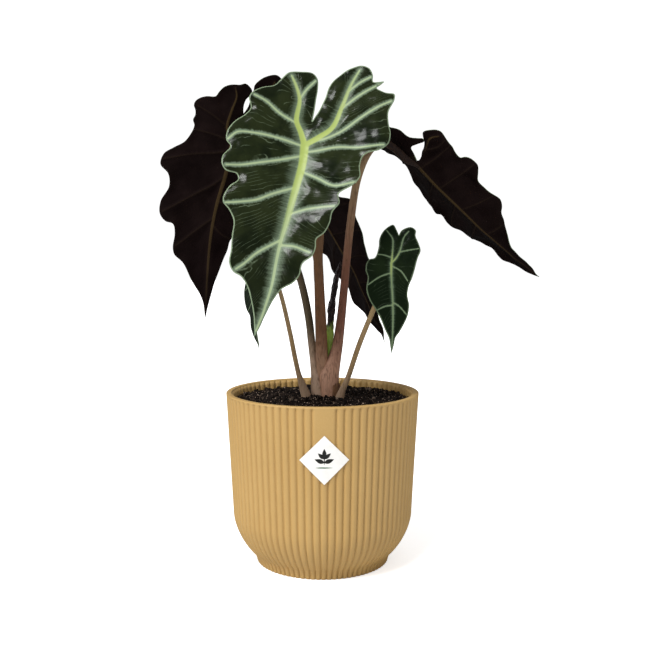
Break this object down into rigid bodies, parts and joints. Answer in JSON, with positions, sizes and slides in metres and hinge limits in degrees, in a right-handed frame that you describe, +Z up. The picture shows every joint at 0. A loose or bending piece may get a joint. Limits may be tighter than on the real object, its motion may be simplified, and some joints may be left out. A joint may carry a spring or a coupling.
{
  "type": "potted alocasia",
  "caption": "Potted alocasia: dark arrow-shaped leaves with pale veins on tall brown stalks, in a fluted round pot with a footed base.",
  "frame": {"origin": "centre of the pot's flat underside, on the surface it stands on", "axes": "+Z up along the pot's axis, -Y towards the front with the label, +X to the right seen from the front"},
  "size_m": [0.2813, 0.1655, 0.3548],
  "materials": {
    "pot": "matte",
    "soil": "rough",
    "corm": "rough",
    "label": "matte",
    "petiole": "satin",
    "blade": "glossy",
    "furled_leaf": "satin",
    "dry_sheath": "dry"
  },
  "bodies": {
    "root": {"pot": "pot", "soil": "soil", "corm": "corm", "label": "label", "petiole_front": "petiole", "blade_front": "blade", "petiole_left": "petiole", "blade_left": "blade", "petiole_right": "petiole", "blade_right": "blade", "petiole_back": "petiole", "blade_back": "blade", "petiole_small_right": "petiole", "blade_small_right": "blade", "petiole_small_left": "petiole", "blade_small_left": "blade", "furled_leaf": "furled_leaf", "dry_sheath": "dry_sheath"}
  },
  "joints": []
}
